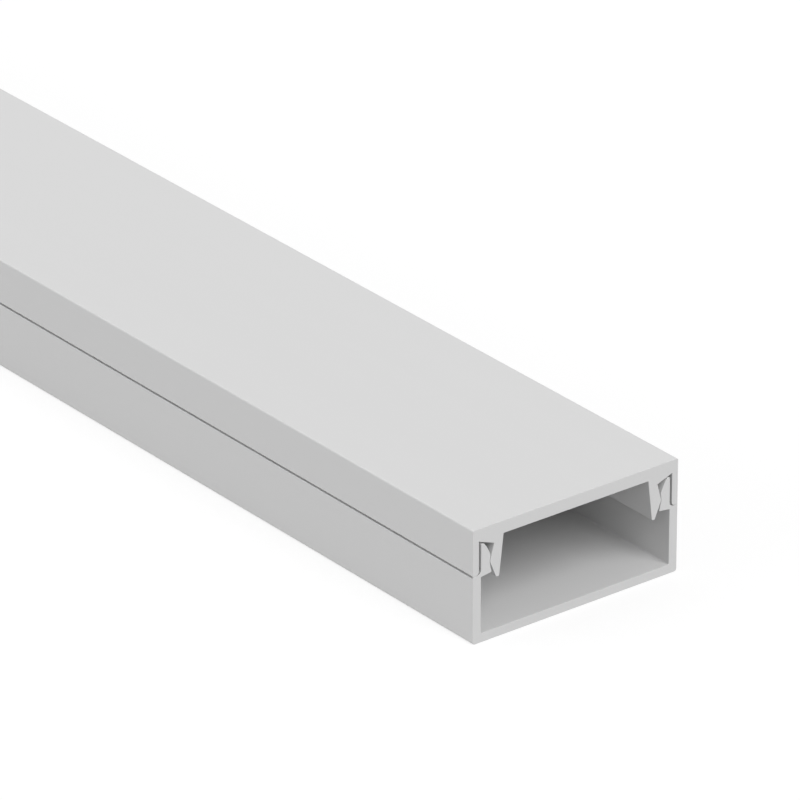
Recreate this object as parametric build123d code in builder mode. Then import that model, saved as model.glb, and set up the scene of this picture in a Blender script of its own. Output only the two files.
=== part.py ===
from build123d import *
import os

os.makedirs("parts", exist_ok=True)

# Cable trunking with a clip-on lid, in millimetres.
# X runs along the length, Y across it and Z up from the face that goes on the wall.
# The origin is at the middle of the length, in the centre of the underside.

# Stock size
length = 1000.0
width = 40.0
height = 19.3

# Base channel
base_wall = 1.55
base_floor = 1.52
bottom_edge_radius = 0.4
floor_corner_radius = 0.3

# Upright on each side wall, measured inwards from its outer face and up from the shoulder
tip_width = 0.55
tip_radius = 0.25
nose_depth = 1.82
nose_rise = 3.01
nose_radius = 0.5
nose_crown_radius = 8.0
notch_depth = 0.18
notch_rise = 1.95
notch_radius = 0.8
barb_depth = 2.04
barb_rise = 0.15
barb_edge_radius = 0.12
barb_root_drop = 0.12
shoulder_fillet = 0.8
shoulder_edge_radius = 0.05

# Lid plate and skirts
lid_plate = 2.12
lid_depth = 7.73
lid_edge_radius = 0.25
skirt_wall = 1.13
skirt_edge_radius = 0.05
skirt_inside_radius = 0.6

# Lid legs, and the pocket between each leg and the skirt beside it
pocket_plate = 2.15
pocket_fall = 1.07
leg_root_width = 1.82
tooth_reach = 0.8
tooth_radius = 0.6
leg_tail = 2.93
leg_tip_width = 0.55
leg_tip_offset = 1.52
leg_tip_radius = 0.25

# Clearances between the lid and the base
seam_gap = 0.38
skirt_gap = 0.43
tip_gap = 0.2
tooth_gap = 0.05

# Places across the section, from the middle outwards on the positive side
base_side = width / 2
wall_inside = base_side - base_wall
skirt_inside = base_side - skirt_wall
upright_outside = skirt_inside - skirt_gap
tip_inside = upright_outside - tip_width
nose_y = upright_outside - nose_depth
notch_y = nose_y + notch_depth
barb_y = upright_outside - barb_depth
tooth_y = notch_y - tooth_gap
leg_root_outside = tooth_y - tooth_reach
leg_root_inside = leg_root_outside - leg_root_width
leg_tip_middle = tooth_y - leg_tip_offset

# Heights
lid_underside = height - lid_plate
pocket_ceiling = height - pocket_plate
skirt_bottom = height - lid_depth
shoulder_z = skirt_bottom - seam_gap
pocket_slope = pocket_fall / (skirt_inside - leg_root_outside)
tip_z = pocket_ceiling - pocket_slope * (skirt_inside - tip_inside) - tip_gap
nose_z = shoulder_z + nose_rise
notch_z = shoulder_z + notch_rise
barb_z = shoulder_z + barb_rise
barb_root_z = shoulder_z - barb_root_drop
leg_root_z = pocket_ceiling - pocket_fall
leg_tip_z = notch_z - leg_tail


# Finds the corner of a half section that stands at a given place
def corner(sketch, y, z):
    return sketch.vertices().sort_by_distance((y, z, 0))[0]


# Half section of the base: floor, side wall, shoulder and upright
with BuildSketch() as base_half:
    with BuildLine():
        Polyline(
            (0, 0),
            (base_side, 0),
            (base_side, shoulder_z),
            (upright_outside, shoulder_z),
            (upright_outside, tip_z),
            (tip_inside, tip_z),
        )
        RadiusArc((tip_inside, tip_z), (nose_y, nose_z), -nose_crown_radius)
        Polyline(
            (nose_y, nose_z),
            (notch_y, notch_z),
            (barb_y, barb_z),
            (wall_inside, barb_root_z),
            (wall_inside, base_floor),
            (0, base_floor),
            (0, 0),
        )
    make_face()
    fillet(corner(base_half, base_side, 0), bottom_edge_radius)
    fillet(corner(base_half, base_side, shoulder_z), shoulder_edge_radius)
    fillet(corner(base_half, upright_outside, shoulder_z), shoulder_fillet)
    fillet(corner(base_half, upright_outside, tip_z), tip_radius)
    fillet(corner(base_half, tip_inside, tip_z), tip_radius)
    fillet(corner(base_half, nose_y, nose_z), nose_radius)
    fillet(corner(base_half, notch_y, notch_z), notch_radius)
    fillet(corner(base_half, barb_y, barb_z), barb_edge_radius)
    fillet(corner(base_half, wall_inside, base_floor), floor_corner_radius)

# Half section of the lid: plate, skirt, the pocket over the upright, and the leg
with BuildSketch() as lid_half:
    with BuildLine():
        Polyline(
            (0, height),
            (base_side, height),
            (base_side, skirt_bottom),
            (skirt_inside, skirt_bottom),
            (skirt_inside, pocket_ceiling),
            (leg_root_outside, leg_root_z),
            (tooth_y, notch_z),
            (leg_tip_middle + leg_tip_width / 2, leg_tip_z),
            (leg_tip_middle - leg_tip_width / 2, leg_tip_z),
            (leg_root_inside, lid_underside),
            (0, lid_underside),
            (0, height),
        )
    make_face()
    fillet(corner(lid_half, base_side, height), lid_edge_radius)
    fillet(corner(lid_half, base_side, skirt_bottom), skirt_edge_radius)
    fillet(corner(lid_half, skirt_inside, skirt_bottom), skirt_inside_radius)
    fillet(corner(lid_half, tooth_y, notch_z), tooth_radius)
    fillet(corner(lid_half, leg_tip_middle + leg_tip_width / 2, leg_tip_z), leg_tip_radius)
    fillet(corner(lid_half, leg_tip_middle - leg_tip_width / 2, leg_tip_z), leg_tip_radius)

# The plane that every section stands on, half the length back from the middle
section_plane = Plane((-length / 2, 0, 0), x_dir=(0, 1, 0), z_dir=(1, 0, 0))

# Base channel
with BuildPart() as trunking_base:
    with BuildSketch(section_plane):
        add(base_half.sketch)
        mirror(about=Plane.YZ)
    extrude(amount=length)

# Lid
with BuildPart() as snap_lid:
    with BuildSketch(section_plane):
        add(lid_half.sketch)
        mirror(about=Plane.YZ)
    extrude(amount=length)

trunking_base.part.label = "trunking_base"
export_step(trunking_base.part, "parts/trunking_base.step")

snap_lid.part.label = "snap_lid"
export_step(snap_lid.part, "parts/snap_lid.step")
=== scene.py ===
"""Cable trunking with a clip-on lid: the finished look of the base channel and of its lid.

Both pieces are plastic extrusions, so each is one cross-section carried along the length. The
sections are worked out here from the maker's sizes, with every edge as round as on the real piece.
The ends are sawn square, with a lightly broken edge and small burrs that almost close the seam.
Lengths are in metres. X runs along the trunking, Y across it and Z up, and the cut end that the
camera looks at is the one at +X.
"""

import math

import bpy
import numpy as np
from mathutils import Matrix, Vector
from mathutils.geometry import delaunay_2d_cdt


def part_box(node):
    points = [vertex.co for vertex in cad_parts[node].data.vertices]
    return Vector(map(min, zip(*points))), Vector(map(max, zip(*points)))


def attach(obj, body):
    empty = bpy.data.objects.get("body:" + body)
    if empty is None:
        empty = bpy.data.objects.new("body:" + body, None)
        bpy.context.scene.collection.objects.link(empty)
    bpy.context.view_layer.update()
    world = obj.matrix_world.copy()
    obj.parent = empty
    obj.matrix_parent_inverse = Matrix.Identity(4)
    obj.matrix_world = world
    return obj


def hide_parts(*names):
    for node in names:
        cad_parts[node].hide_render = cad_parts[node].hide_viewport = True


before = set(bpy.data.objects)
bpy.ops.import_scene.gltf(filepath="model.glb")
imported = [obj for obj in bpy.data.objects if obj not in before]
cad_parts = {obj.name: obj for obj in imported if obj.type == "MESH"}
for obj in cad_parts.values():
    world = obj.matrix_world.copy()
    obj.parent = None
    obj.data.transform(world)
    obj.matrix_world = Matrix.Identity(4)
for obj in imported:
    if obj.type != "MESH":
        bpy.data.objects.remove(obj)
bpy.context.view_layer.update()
MM = 0.001

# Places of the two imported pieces
base_low, base_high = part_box("trunking_base")
_, lid_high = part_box("snap_lid")
END_LOW = base_low.x
END_HIGH = base_high.x
SIDE = base_high.y
HEIGHT = lid_high.z

# Base channel
BASE_WALL = 1.55 * MM
BASE_FLOOR = 1.52 * MM
BOTTOM_EDGE_RADIUS = 0.4 * MM
FLOOR_CORNER_RADIUS = 0.3 * MM

# Upright on each side wall
TIP_WIDTH = 0.55 * MM
TIP_RADIUS = 0.25 * MM
NOSE_DEPTH = 1.82 * MM
NOSE_RISE = 3.01 * MM
NOSE_RADIUS = 0.5 * MM
NOSE_CROWN_RADIUS = 8.0 * MM
NOTCH_DEPTH = 0.18 * MM
NOTCH_RISE = 1.95 * MM
NOTCH_RADIUS = 0.8 * MM
BARB_DEPTH = 2.04 * MM
BARB_RISE = 0.15 * MM
BARB_EDGE_RADIUS = 0.12 * MM
BARB_ROOT_DROP = 0.12 * MM
SHOULDER_FILLET = 0.8 * MM
SHOULDER_EDGE_RADIUS = 0.05 * MM

# Lid plate, skirts and legs
LID_PLATE = 2.12 * MM
LID_DEPTH = 7.73 * MM
LID_EDGE_RADIUS = 0.25 * MM
SKIRT_WALL = 1.13 * MM
SKIRT_EDGE_RADIUS = 0.05 * MM
SKIRT_INSIDE_RADIUS = 0.6 * MM
POCKET_PLATE = 2.15 * MM
POCKET_FALL = 1.07 * MM
LEG_ROOT_WIDTH = 1.82 * MM
TOOTH_REACH = 0.8 * MM
TOOTH_RADIUS = 0.6 * MM
LEG_TAIL = 2.93 * MM
LEG_TIP_WIDTH = 0.55 * MM
LEG_TIP_OFFSET = 1.52 * MM
LEG_TIP_RADIUS = 0.25 * MM

# Clearances between the lid and the base
SEAM_GAP = 0.38 * MM
SKIRT_GAP = 0.43 * MM
TIP_GAP = 0.2 * MM
TOOTH_GAP = 0.05 * MM

# Sawn ends, with the burrs that the saw leaves on the shoulders and skirts
SAWN_EDGE_RADIUS = 0.03 * MM
SHOULDER_BURR = 0.26 * MM
SKIRT_BURR = 0.06 * MM
BURR_THICKNESS = 0.12 * MM
BURR_SLOPE = 0.03 * MM

# How finely the surfaces are divided
ARC_STEPS = 8
CROWN_STEPS = 7
SAWN_EDGE_STEPS = 3
LENGTH_STEPS = 24
SUPPORT = 0.06 * MM
SHARP_ANGLE = math.radians(35)
SAME_POINT = 1e-8

# The kind of cut that keeps only the triangles inside an outline
INSIDE_ONLY = 1

# Camera, from the vanishing lines and the cut end in the picture
VIEW_AZIMUTH = math.radians(-37.974)
VIEW_ELEVATION = math.radians(25.940)
VIEW_DISTANCE = 1.1849
AIM_FROM_CUT_END = Vector((-40.33, -2.44, 20.45)) * MM
LENS = 344.47
SENSOR = 36.0

# Light, as the share of its own colour at which each source alone shows a surface that faces it
SKY_LEVEL = 0.47
KEY_AZIMUTH = math.radians(0)
KEY_ELEVATION = math.radians(45)
KEY_LEVEL = 0.58
FILL_AZIMUTH = math.radians(250)
FILL_ELEVATION = math.radians(12)
FILL_LEVEL = 0.32
LAMP_SOFTNESS = math.radians(45)

# Floor, as the camera sees it and as it throws light back at the trunking
FLOOR_COLOUR = 0.97
FLOOR_GLOW = 1.06
FLOOR_GLOW_SHARE = 0.7
FLOOR_BOUNCE = 0.4
FLOOR_SIZE = 120.0
FLOOR_DROP = 0.05 * MM

# Plastic, the same all through
PVC_GREY = 0.70
NOISE_DETAIL = 2.0

# Extruded faces, with the size of each kind of mark along X, Y and Z
DIE_LINE_SIZE = (400 * MM, 0.7 * MM, 0.7 * MM)
DIE_LINE_SHADE = 0.010
DIE_LINE_ROUGHNESS = 0.10
DIE_RELIEF = 0.004 * MM
FLOW_SIZE = (250 * MM, 5 * MM, 5 * MM)
FLOW_SHADE = 0.016
CLOUD_SIZE = (30 * MM, 22 * MM, 22 * MM)
CLOUD_SHADE = 0.012
CLOUD_ROUGHNESS = 0.08
EXTRUDED_ROUGHNESS = 0.46

# Sawn faces, with the size of each kind of mark along X, Y and Z
SAW_MARK_SIZE = (5 * MM, 0.16 * MM, 9 * MM)
SAW_MARK_TILT = math.radians(12)
SAW_MARK_SHADE = 0.030
SAW_MARK_ROUGHNESS = 0.15
SAW_RELIEF = 0.003 * MM
SAWN_CLOUD_SIZE = (5 * MM, 6 * MM, 6 * MM)
SAWN_CLOUD_SHADE = 0.014
SAWN_ROUGHNESS = 0.6


def unit(vectors):
    """Each row divided by its own length."""
    return vectors / np.linalg.norm(vectors, axis=-1, keepdims=True)


def rounded_outline(corners, radii):
    """A closed outline whose corners are rounded by arcs, as rows of (y, z) that run anticlockwise.

    At a corner the outline comes in along the unit vector a, leaves along b and turns by the angle T
    between them. An arc of radius r starts r * tan(T / 2) before the corner. Its point at the angle t
    is start + r * (a * sin(t) + n * (1 - cos(t))), where n is the unit normal of a on the inside of
    the turn and t runs from 0 to T. A point close before the arc and one close after it keep the
    flats beside it flat in smooth shading.
    """
    corners = np.array(corners, float)
    radii = np.array(radii, float)[:, None]
    way_in = unit(corners - np.roll(corners, 1, axis=0))
    way_out = np.roll(way_in, -1, axis=0)
    cross = way_in[:, :1] * way_out[:, 1:] - way_in[:, 1:] * way_out[:, :1]
    dot = np.sum(way_in * way_out, axis=1, keepdims=True)
    turn = np.arctan2(np.abs(cross), dot)
    inward = np.sign(cross) * np.stack([-way_in[:, 1], way_in[:, 0]], axis=1)
    trim = radii * np.tan(turn / 2)
    t = turn[:, :, None] * np.linspace(0, 1, ARC_STEPS + 1)[None, :, None]
    bend = way_in[:, None] * np.sin(t) + inward[:, None] * (1 - np.cos(t))
    arcs = (corners - way_in * trim)[:, None] + radii[:, :, None] * bend
    before = arcs[:, :1] - way_in[:, None] * SUPPORT
    after = arcs[:, -1:] + way_out[:, None] * SUPPORT
    points = np.concatenate([before, arcs, after], axis=1).reshape(-1, 2)
    apart = np.linalg.norm(points - np.roll(points, 1, axis=0), axis=1) > SAME_POINT
    points = points[apart]
    ahead = np.roll(points, -1, axis=0)
    twice_area = np.sum(points[:, 0] * ahead[:, 1] - points[:, 1] * ahead[:, 0])
    return points if twice_area > 0 else points[::-1]


def both_sides(half):
    """Corners and radii of a whole section, from rows of (y, z, radius) of its +Y half in order."""
    half = np.array(half, float)
    other = half[::-1] * (-1, 1, 1)
    whole = np.concatenate([half, other])
    return whole[:, :2], whole[:, 2]


def arc_between(start, end, radius, steps):
    """Rows of (y, z, 0) on an arc that bulges to the left of the way from start to end.

    With the half chord h, the arc's centre lies sqrt(radius^2 - h^2) to the right of the chord's
    middle, and its points stand at even angles about that centre. The two ends are left out.
    """
    start = np.array(start)
    end = np.array(end)
    half_chord = (end - start) / 2
    h = np.linalg.norm(half_chord)
    along = half_chord / h
    left = np.array((-along[1], along[0]))
    centre = (start + end) / 2 - left * math.sqrt(radius**2 - h**2)
    angle = np.linspace(-1, 1, steps + 2)[1:-1, None] * math.asin(h / radius)
    points = centre + radius * (along * np.sin(angle) + left * np.cos(angle))
    return np.concatenate([points, np.zeros((steps, 1))], axis=1)


def mitred_normals(outline):
    """Outward steps that move every side of an outline out by one unit.

    At a point between sides with the unit normals p and q the step is (p + q) / (1 + p . q).
    """
    way_in = unit(outline - np.roll(outline, 1, axis=0))
    normal_in = np.stack([way_in[:, 1], -way_in[:, 0]], axis=1)
    normal_out = np.roll(normal_in, -1, axis=0)
    return (normal_in + normal_out) / (1 + np.sum(normal_in * normal_out, axis=1, keepdims=True))


def triangles_inside(outline):
    """A closed outline's inside, cut into triangles as even as they can be.

    Each row holds the places of three points in the outline. The cut is made in millimetres, where
    the points are far enough apart for it.
    """
    ring = [list(range(len(outline)))]
    cut = delaunay_2d_cdt((outline / MM).tolist(), [], ring, INSIDE_ONLY, SAME_POINT)
    _, _, triangles, sources, _, _ = cut
    first_source = np.array([points[0] for points in sources])
    return first_source[np.array(triangles)]


def add_object(name, data):
    """A new object in the scene, at the origin, made of a mesh, a lamp's data or a camera's."""
    made = bpy.data.objects.new(name, data)
    bpy.context.scene.collection.objects.link(made)
    return made


def extrusion(name, outline, end_outline):
    """A section carried straight along X between the two sawn ends.

    Station by station the whole outline is repeated at its own x. The end's own outline, which has as
    many points, takes its place over the thickness of the burr. At the end itself it is also drawn in
    along its normals by e * (1 - sin(t)) at e * (1 - cos(t)) from the end, for t from 0 to 90 degrees,
    which rounds the sawn edge with the radius e. Each end is closed by a flat face of triangles.
    """
    t = np.linspace(0, math.pi / 2, SAWN_EDGE_STEPS + 1)
    edge_x = np.append(SAWN_EDGE_RADIUS * (1 - np.cos(t)), BURR_THICKNESS)
    edge_inset = np.append(SAWN_EDGE_RADIUS * (1 - np.sin(t)), 0)
    end = end_outline[None] - mitred_normals(end_outline)[None] * edge_inset[:, None, None]

    burr_back = BURR_THICKNESS + BURR_SLOPE
    middle_low = END_LOW + burr_back + SUPPORT
    middle_high = END_HIGH - burr_back - SUPPORT
    middle = np.linspace(middle_low, middle_high, LENGTH_STEPS + 1)
    middle = np.concatenate([[END_LOW + burr_back], middle, [END_HIGH - burr_back]])
    x = np.concatenate([END_LOW + edge_x, middle, (END_HIGH - edge_x)[::-1]])

    around = len(outline)
    section = np.concatenate([end, np.repeat(outline[None], len(middle), axis=0), end[::-1]])
    along = np.broadcast_to(x[:, None, None], (len(x), around, 1))
    vertices = np.concatenate([along, section], axis=2).reshape(-1, 3)

    station = np.arange(len(x) - 1)[:, None] * around
    here = station + np.arange(around)[None]
    ahead = station + np.roll(np.arange(around), -1)[None]
    sides = np.stack([here, ahead, ahead + around, here + around], axis=2).reshape(-1, 4)
    cap = triangles_inside(end[0])
    caps = np.concatenate([cap[:, ::-1], cap + (len(x) - 1) * around])
    is_cap = np.arange(len(sides) + len(caps)) >= len(sides)

    mesh = bpy.data.meshes.new(name)
    mesh.from_pydata(vertices.tolist(), [], sides.tolist() + caps.tolist())
    # The sharp edges come first, because finding them makes every face smooth
    mesh.set_sharp_from_angle(angle=SHARP_ANGLE)
    mesh.polygons.foreach_set("use_smooth", ~is_cap)
    mesh.polygons.foreach_set("material_index", is_cap.astype(np.int32))
    mesh.update()
    return add_object(name, mesh)


# Heights and places that the lid and the base share
lid_underside = HEIGHT - LID_PLATE
pocket_ceiling = HEIGHT - POCKET_PLATE
skirt_bottom = HEIGHT - LID_DEPTH
shoulder_z = skirt_bottom - SEAM_GAP
notch_z = shoulder_z + NOTCH_RISE
skirt_inside = SIDE - SKIRT_WALL
upright_outside = skirt_inside - SKIRT_GAP
nose_y = upright_outside - NOSE_DEPTH
notch_y = nose_y + NOTCH_DEPTH
tooth_y = notch_y - TOOTH_GAP
leg_root_outside = tooth_y - TOOTH_REACH


def base_outline(burr=0.0):
    """The base's section: floor, side walls, shoulders, and the uprights with nose, notch and barb.

    A burr is a height by which the shoulders stand higher.
    """
    wall_inside = SIDE - BASE_WALL
    tip_inside = upright_outside - TIP_WIDTH
    pocket_slope = POCKET_FALL / (skirt_inside - leg_root_outside)
    tip_z = pocket_ceiling - pocket_slope * (skirt_inside - tip_inside) - TIP_GAP
    nose_z = shoulder_z + NOSE_RISE
    barb_y = upright_outside - BARB_DEPTH
    crown = arc_between((nose_y, nose_z), (tip_inside, tip_z), NOSE_CROWN_RADIUS, CROWN_STEPS)
    half = [
        (SIDE, 0, BOTTOM_EDGE_RADIUS),
        (SIDE, shoulder_z + burr, SHOULDER_EDGE_RADIUS),
        (upright_outside, shoulder_z + burr, SHOULDER_FILLET),
        (upright_outside, tip_z, TIP_RADIUS),
        (tip_inside, tip_z, TIP_RADIUS),
        *crown[::-1],
        (nose_y, nose_z, NOSE_RADIUS),
        (notch_y, notch_z, NOTCH_RADIUS),
        (barb_y, shoulder_z + BARB_RISE, BARB_EDGE_RADIUS),
        (wall_inside, shoulder_z - BARB_ROOT_DROP, 0),
        (wall_inside, BASE_FLOOR, FLOOR_CORNER_RADIUS),
    ]
    return rounded_outline(*both_sides(half))


def lid_outline(burr=0.0):
    """The lid's section: plate, outer skirts, pockets over the uprights, and the toothed legs.

    A burr is a height by which the skirts reach lower.
    """
    leg_root_inside = leg_root_outside - LEG_ROOT_WIDTH
    leg_tip_middle = tooth_y - LEG_TIP_OFFSET
    leg_tip_z = notch_z - LEG_TAIL
    half = [
        (SIDE, HEIGHT, LID_EDGE_RADIUS),
        (SIDE, skirt_bottom - burr, SKIRT_EDGE_RADIUS),
        (skirt_inside, skirt_bottom - burr, SKIRT_INSIDE_RADIUS),
        (skirt_inside, pocket_ceiling, 0),
        (leg_root_outside, pocket_ceiling - POCKET_FALL, 0),
        (tooth_y, notch_z, TOOTH_RADIUS),
        (leg_tip_middle + LEG_TIP_WIDTH / 2, leg_tip_z, LEG_TIP_RADIUS),
        (leg_tip_middle - LEG_TIP_WIDTH / 2, leg_tip_z, LEG_TIP_RADIUS),
        (leg_root_inside, lid_underside, 0),
    ]
    return rounded_outline(*both_sides(half))


class Wire:
    """One output socket. Python's arithmetic on it adds the Math nodes that work it out."""

    def __init__(self, shader, socket):
        self.shader = shader
        self.socket = socket

    def _math(self, operation, first, second):
        return self.shader.node("ShaderNodeMath", {"operation": operation}, {0: first, 1: second})

    def __add__(self, other):
        return self._math("ADD", self, other)

    __radd__ = __add__

    def __sub__(self, other):
        return self._math("SUBTRACT", self, other)

    def __rsub__(self, other):
        return self._math("SUBTRACT", other, self)

    def __mul__(self, other):
        return self._math("MULTIPLY", self, other)

    __rmul__ = __mul__


class Shader:
    """A node tree, emptied, with the one method that adds its nodes."""

    def __init__(self, tree):
        self.tree = tree
        tree.nodes.clear()

    def node(self, kind, settings=None, inputs=None, output=0):
        """Adds a node, makes its settings, gives its sockets values or wires, and returns an output."""
        made = self.tree.nodes.new(kind)
        for name, value in (settings or {}).items():
            setattr(made, name, value)
        for name, value in (inputs or {}).items():
            if isinstance(value, Wire):
                self.tree.links.new(value.socket, made.inputs[name])
            else:
                made.inputs[name].default_value = value
        return Wire(self, made.outputs[output]) if len(made.outputs) else None


# Sockets of the Mix node in its colour form, which share their names with its other forms
MIX_FACTOR = 0
MIX_FIRST = 6
MIX_SECOND = 7
MIX_RESULT = 2

# Sockets of the Mix Shader node, whose two shaders share one name
BLEND_FACTOR = 0
BLEND_FIRST = 1
BLEND_SECOND = 2


def grey(level):
    """A neutral colour."""
    return (level, level, level, 1.0)


def new_material(name):
    """A material, and the shader that fills its node tree."""
    material = bpy.data.materials.new(name)
    material.use_nodes = True
    return material, Shader(material.node_tree)


def drawn_noise(shader, size, turn=(0, 0, 0)):
    """Noise between about -0.5 and 0.5 whose marks have the given size in metres along X, Y and Z."""
    place = shader.node("ShaderNodeTexCoord", output="Object")
    stretch = {"Vector": place, "Rotation": turn, "Scale": [1 / s for s in size]}
    place = shader.node("ShaderNodeMapping", {"vector_type": "POINT"}, stretch)
    pattern = {"Vector": place, "Scale": 1.0, "Detail": NOISE_DETAIL}
    return shader.node("ShaderNodeTexNoise", None, pattern) - 0.5


def pvc(shader, shade, roughness, height, relief):
    """The plastic's grey, made lighter or darker by a shade, with a relief in metres."""
    colour = shader.node(
        "ShaderNodeMix",
        {"data_type": "RGBA", "blend_type": "MULTIPLY"},
        {MIX_FACTOR: 1.0, MIX_FIRST: grey(PVC_GREY), MIX_SECOND: shade},
        MIX_RESULT,
    )
    normal = shader.node("ShaderNodeBump", None, {"Strength": 1.0, "Distance": relief, "Height": height})
    surface = {"Base Color": colour, "Roughness": roughness, "Normal": normal}
    surface = shader.node("ShaderNodeBsdfPrincipled", None, surface)
    shader.node("ShaderNodeOutputMaterial", None, {"Surface": surface})


def extruded_finish(name):
    """Plastic as it leaves the die: faint lines along the length and soft clouding."""
    material, shader = new_material(name)
    die_lines = drawn_noise(shader, DIE_LINE_SIZE)
    flow = drawn_noise(shader, FLOW_SIZE)
    clouds = drawn_noise(shader, CLOUD_SIZE)
    shade = 1.0 + DIE_LINE_SHADE * die_lines + FLOW_SHADE * flow + CLOUD_SHADE * clouds
    roughness = EXTRUDED_ROUGHNESS + DIE_LINE_ROUGHNESS * die_lines + CLOUD_ROUGHNESS * clouds
    pvc(shader, shade, roughness, die_lines + flow, DIE_RELIEF)
    return material


def sawn_finish(name):
    """The same plastic where the saw went through: matter, with fine straight marks across the cut."""
    material, shader = new_material(name)
    marks = drawn_noise(shader, SAW_MARK_SIZE, turn=(SAW_MARK_TILT, 0, 0))
    clouds = drawn_noise(shader, SAWN_CLOUD_SIZE)
    shade = 1.0 + SAW_MARK_SHADE * marks + SAWN_CLOUD_SHADE * clouds
    roughness = SAWN_ROUGHNESS + SAW_MARK_ROUGHNESS * marks
    pvc(shader, shade, roughness, marks, SAW_RELIEF)
    return material


def seen_directly(shader):
    """1 on rays from the camera and on those that it sees mirrored or through glass, else 0."""
    camera_ray = shader.node("ShaderNodeLightPath", output="Is Camera Ray")
    mirrored_ray = shader.node("ShaderNodeLightPath", output="Is Glossy Ray")
    glass_ray = shader.node("ShaderNodeLightPath", output="Is Transmission Ray")
    return camera_ray + mirrored_ray + glass_ray


def floor():
    """A wide level floor. It looks white with a soft shadow, and sends only some light back up."""
    z = base_low.z - FLOOR_DROP
    reach = FLOOR_SIZE / 2
    mesh = bpy.data.meshes.new("floor")
    square = [(-reach, -reach, z), (reach, -reach, z), (reach, reach, z), (-reach, reach, z)]
    mesh.from_pydata(square, [], [(0, 1, 2, 3)])
    ground = add_object("floor", mesh)

    material, shader = new_material("floor_white")
    seen = seen_directly(shader)
    level = FLOOR_BOUNCE + (FLOOR_COLOUR - FLOOR_BOUNCE) * seen
    lit = shader.node("ShaderNodeBsdfDiffuse", None, {"Color": level})
    glow = shader.node("ShaderNodeEmission", None, {"Strength": FLOOR_GLOW})
    blend = {BLEND_FACTOR: FLOOR_GLOW_SHARE * seen, BLEND_FIRST: lit, BLEND_SECOND: glow}
    surface = shader.node("ShaderNodeMixShader", None, blend)
    shader.node("ShaderNodeOutputMaterial", None, {"Surface": surface})
    mesh.materials.append(material)


def towards(azimuth, elevation):
    """The unit vector towards an azimuth, counted from +X to +Y, and an elevation."""
    return Vector((
        math.cos(azimuth) * math.cos(elevation),
        math.sin(azimuth) * math.cos(elevation),
        math.sin(elevation),
    ))


def add_aimed(name, data, back):
    """A lamp or camera in the scene, turned to look the opposite way to the vector back."""
    made = add_object(name, data)
    made.rotation_mode = "QUATERNION"
    made.rotation_quaternion = back.to_track_quat("Z", "Y")
    return made


def lamp(name, azimuth, elevation, level):
    """A broad lamp so far off that it lights the whole length alike.

    At an energy of pi such a lamp shows a surface that faces it in the surface's own colour.
    """
    data = bpy.data.lights.new(name, "SUN")
    data.energy = level * math.pi
    data.angle = LAMP_SOFTNESS
    add_aimed(name, data, towards(azimuth, elevation))


def studio_light():
    """An even sky all round, white where the camera sees it, a key light and a low fill light."""
    world = bpy.data.worlds.new("studio")
    world.use_nodes = True
    shader = Shader(world.node_tree)
    strength = SKY_LEVEL + (1 - SKY_LEVEL) * seen_directly(shader)
    sky = shader.node("ShaderNodeBackground", None, {"Color": grey(1.0), "Strength": strength})
    shader.node("ShaderNodeOutputWorld", None, {"Surface": sky})
    bpy.context.scene.world = world

    lamp("key", KEY_AZIMUTH, KEY_ELEVATION, KEY_LEVEL)
    lamp("fill", FILL_AZIMUTH, FILL_ELEVATION, FILL_LEVEL)


def camera():
    """The picture's viewpoint: the cut end close by on the right, the length running off top left."""
    data = bpy.data.cameras.new("camera")
    data.lens = LENS
    data.sensor_width = SENSOR
    back = towards(VIEW_AZIMUTH, VIEW_ELEVATION)
    view = add_aimed("camera", data, back)
    view.location = Vector((END_HIGH, 0, 0)) + AIM_FROM_CUT_END + back * VIEW_DISTANCE
    bpy.context.scene.camera = view


sawn = sawn_finish("sawn_pvc")

base_piece = extrusion("base_channel", base_outline(), base_outline(SHOULDER_BURR))
base_piece.data.materials.append(extruded_finish("base_extruded_pvc"))
base_piece.data.materials.append(sawn)
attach(base_piece, "base")
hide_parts("trunking_base")

lid_piece = extrusion("clip_lid", lid_outline(), lid_outline(SKIRT_BURR))
lid_piece.data.materials.append(extruded_finish("lid_extruded_pvc"))
lid_piece.data.materials.append(sawn)
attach(lid_piece, "lid")
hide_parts("snap_lid")

floor()
studio_light()
camera()
bpy.context.scene.view_settings.view_transform = "Standard"
